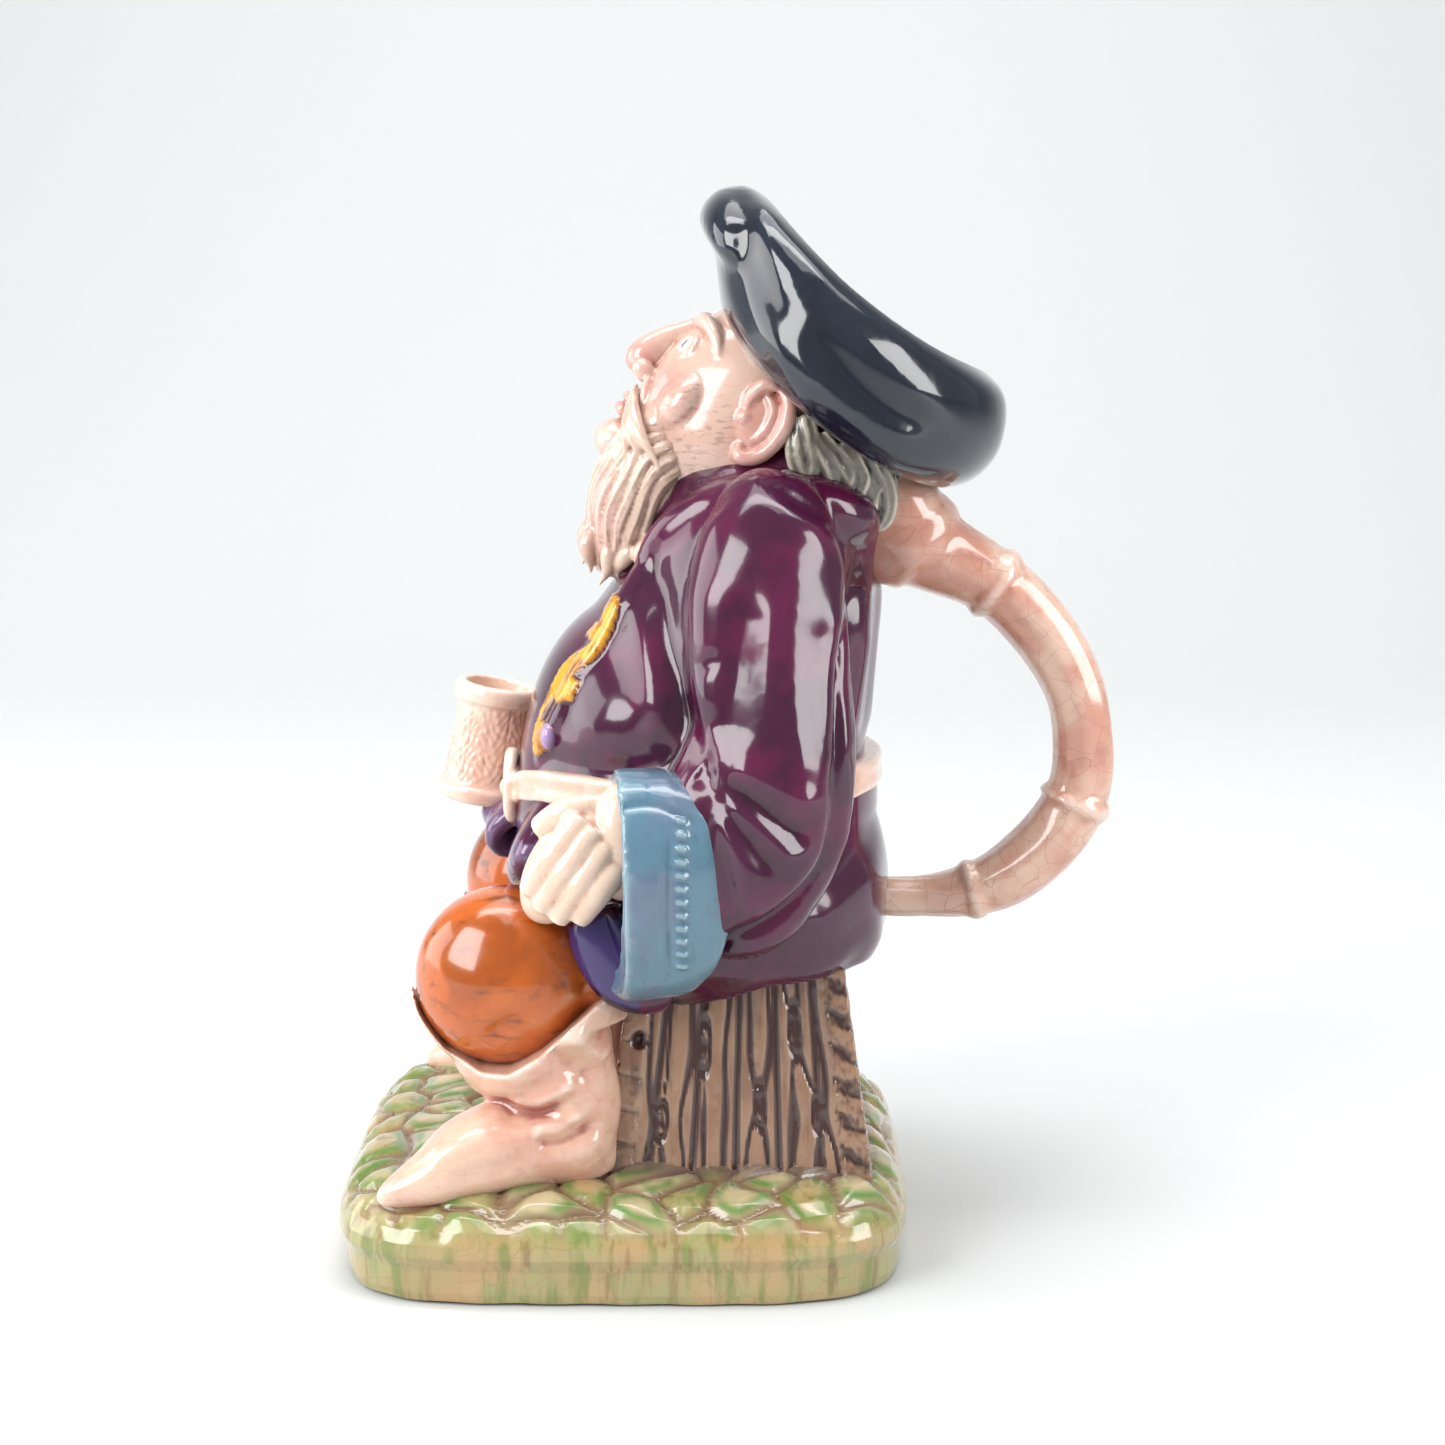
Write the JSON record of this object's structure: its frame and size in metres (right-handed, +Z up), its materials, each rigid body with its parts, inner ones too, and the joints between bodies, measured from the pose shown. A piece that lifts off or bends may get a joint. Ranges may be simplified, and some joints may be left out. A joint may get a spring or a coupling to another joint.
{
  "type": "toby jug",
  "caption": "Figural pottery jug: a seated toper in a long coat on a crate and cobbled slab, his tilted hat the open mouth, a cane loop handle behind.",
  "frame": {"origin": "centre of the underside of the whole jug's bounds, on the table", "axes": "+Z up through the hat; the seated figure faces -Y; his left side is +X; the handle is at +Y"},
  "size_m": [0.106, 0.1506, 0.2022],
  "materials": {
    "painted_glaze": "hand painted under a thick clear gloss glaze: aubergine coat, blue-black hat, amber breeches, salmon cane handle, green and cream slab"
  },
  "bodies": {
    "root": {"toby_jug": "painted_glaze"}
  },
  "joints": []
}
